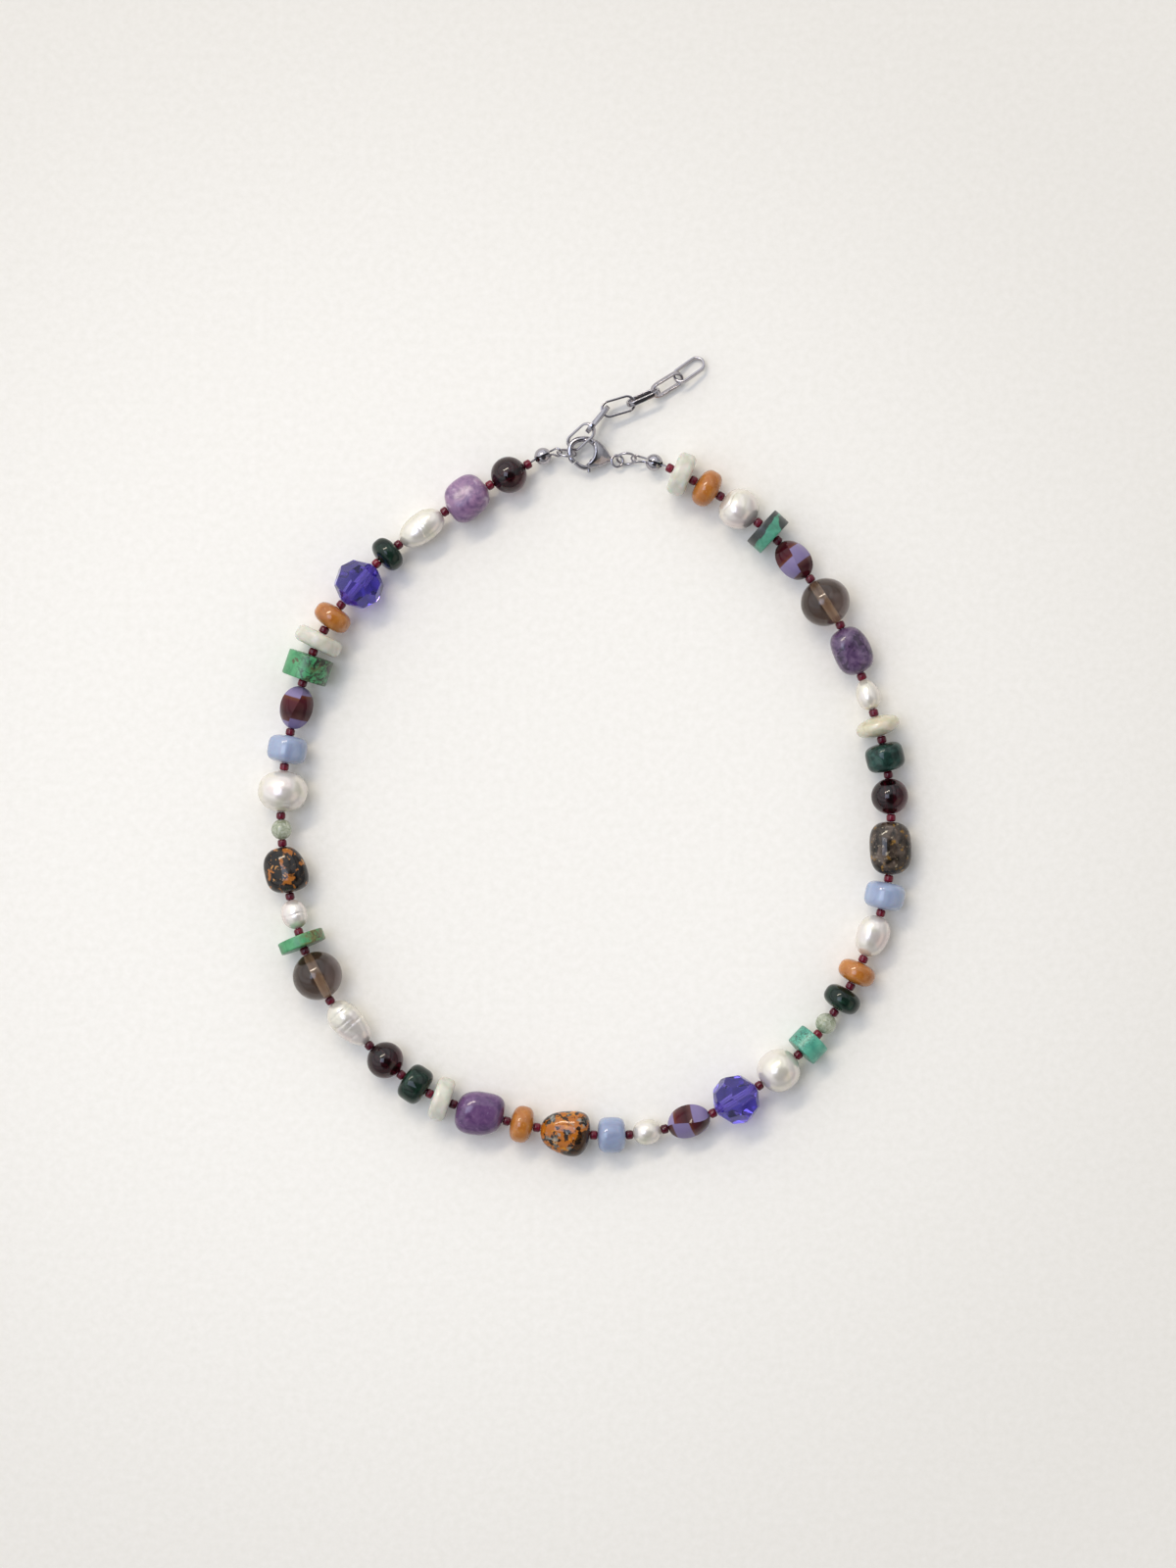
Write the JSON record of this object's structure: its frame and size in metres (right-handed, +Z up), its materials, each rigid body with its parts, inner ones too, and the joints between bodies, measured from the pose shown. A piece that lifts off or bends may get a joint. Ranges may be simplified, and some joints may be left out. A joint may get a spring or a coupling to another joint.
{
  "type": "beaded necklace",
  "caption": "Closed single-strand necklace of mixed stone, glass and pearl beads with a lobster clasp and an extension chain, lying flat.",
  "frame": {"origin": "on the surface it lies on, under the middle of its bounding box", "axes": "+Z up from the surface; +Y from the middle of the loop towards the clasp and chain; +X to the clasp's tail ring side"},
  "size_m": [0.1334, 0.1636, 0.0103],
  "materials": {
    "garnet": "near-black wine red, polished",
    "purple": "cloudy lilac stone, satin polish",
    "pearl": "cultured pearl, pearly lustre",
    "dark_green": "dark green, polished",
    "violet": "clear violet blue, faceted",
    "orange": "honey orange agate, polished",
    "milky": "milky pale stone, satin polish",
    "turquoise": "turquoise with dark matrix, matt polish",
    "striped": "wine red with lilac patches, faceted",
    "blue": "pale blue, polished",
    "small_green": "pale green, polished",
    "brown": "brown, orange and grey jasper, polished",
    "smoky": "smoky brown, clear, polished",
    "pale": "pale green stone, polished",
    "steel": "polished steel"
  },
  "bodies": {
    "necklace": {"garnet_round_1": "garnet", "purple_nugget_1": "purple", "rice_pearl": "pearl", "dark_green_rondelle_1": "dark_green", "violet_faceted_1": "violet", "orange_rondelle_1": "orange", "milky_disc_1": "milky", "turquoise_cylinder_wide": "turquoise", "striped_oval_1": "striped", "blue_barrel_1": "blue", "oblate_pearl": "pearl", "small_green_round_1": "small_green", "brown_nugget_1": "brown", "coin_pearl": "pearl", "turquoise_disc_thin": "turquoise", "smoky_round_1": "smoky", "wrinkled_pearl": "pearl", "garnet_round_2": "garnet", "dark_green_barrel_1": "dark_green", "milky_disc_2": "milky", "purple_nugget_2": "purple", "orange_rondelle_2": "orange", "brown_nugget_2": "brown", "blue_barrel_2": "blue", "small_pearl": "pearl", "striped_oval_2": "striped", "violet_faceted_2": "violet", "round_pearl": "pearl", "turquoise_cylinder_small": "turquoise", "small_green_round_2": "small_green", "dark_green_rondelle_2": "dark_green", "orange_rondelle_3": "orange", "oval_pearl": "pearl", "blue_barrel_3": "blue", "brown_nugget_3": "brown", "garnet_round_3": "garnet", "dark_green_barrel_2": "dark_green", "pale_lens": "pale", "drop_pearl": "pearl", "purple_nugget_3": "purple", "smoky_round_2": "smoky", "striped_oval_3": "striped", "turquoise_disc_dark": "turquoise", "banded_pearl": "pearl", "orange_rondelle_4": "orange", "milky_disc_3": "milky", "stringing_wire": "steel", "crimp_cover_left": "steel", "crimp_cover_right": "steel", "jump_ring_left": "steel", "jump_ring_right": "steel", "clasp_body": "steel", "chain_link_1": "steel", "chain_link_2": "steel", "chain_link_3": "steel", "chain_link_4": "steel", "chain_link_5": "steel", "chain_link_6": "steel"},
    "lever": {"clasp_lever": "steel"}
  },
  "joints": [
    {"name": "lever_hinge", "type": "hinge", "parent": "necklace", "child": "lever", "pos_m": [0.00176, 0.05985, 0.00216], "axis": [-0.1207, 0.017, -0.9925], "range_deg": [0, 20], "stiffness_Nm_per_rad": 0.01, "springref_deg": -17.19}
  ]
}
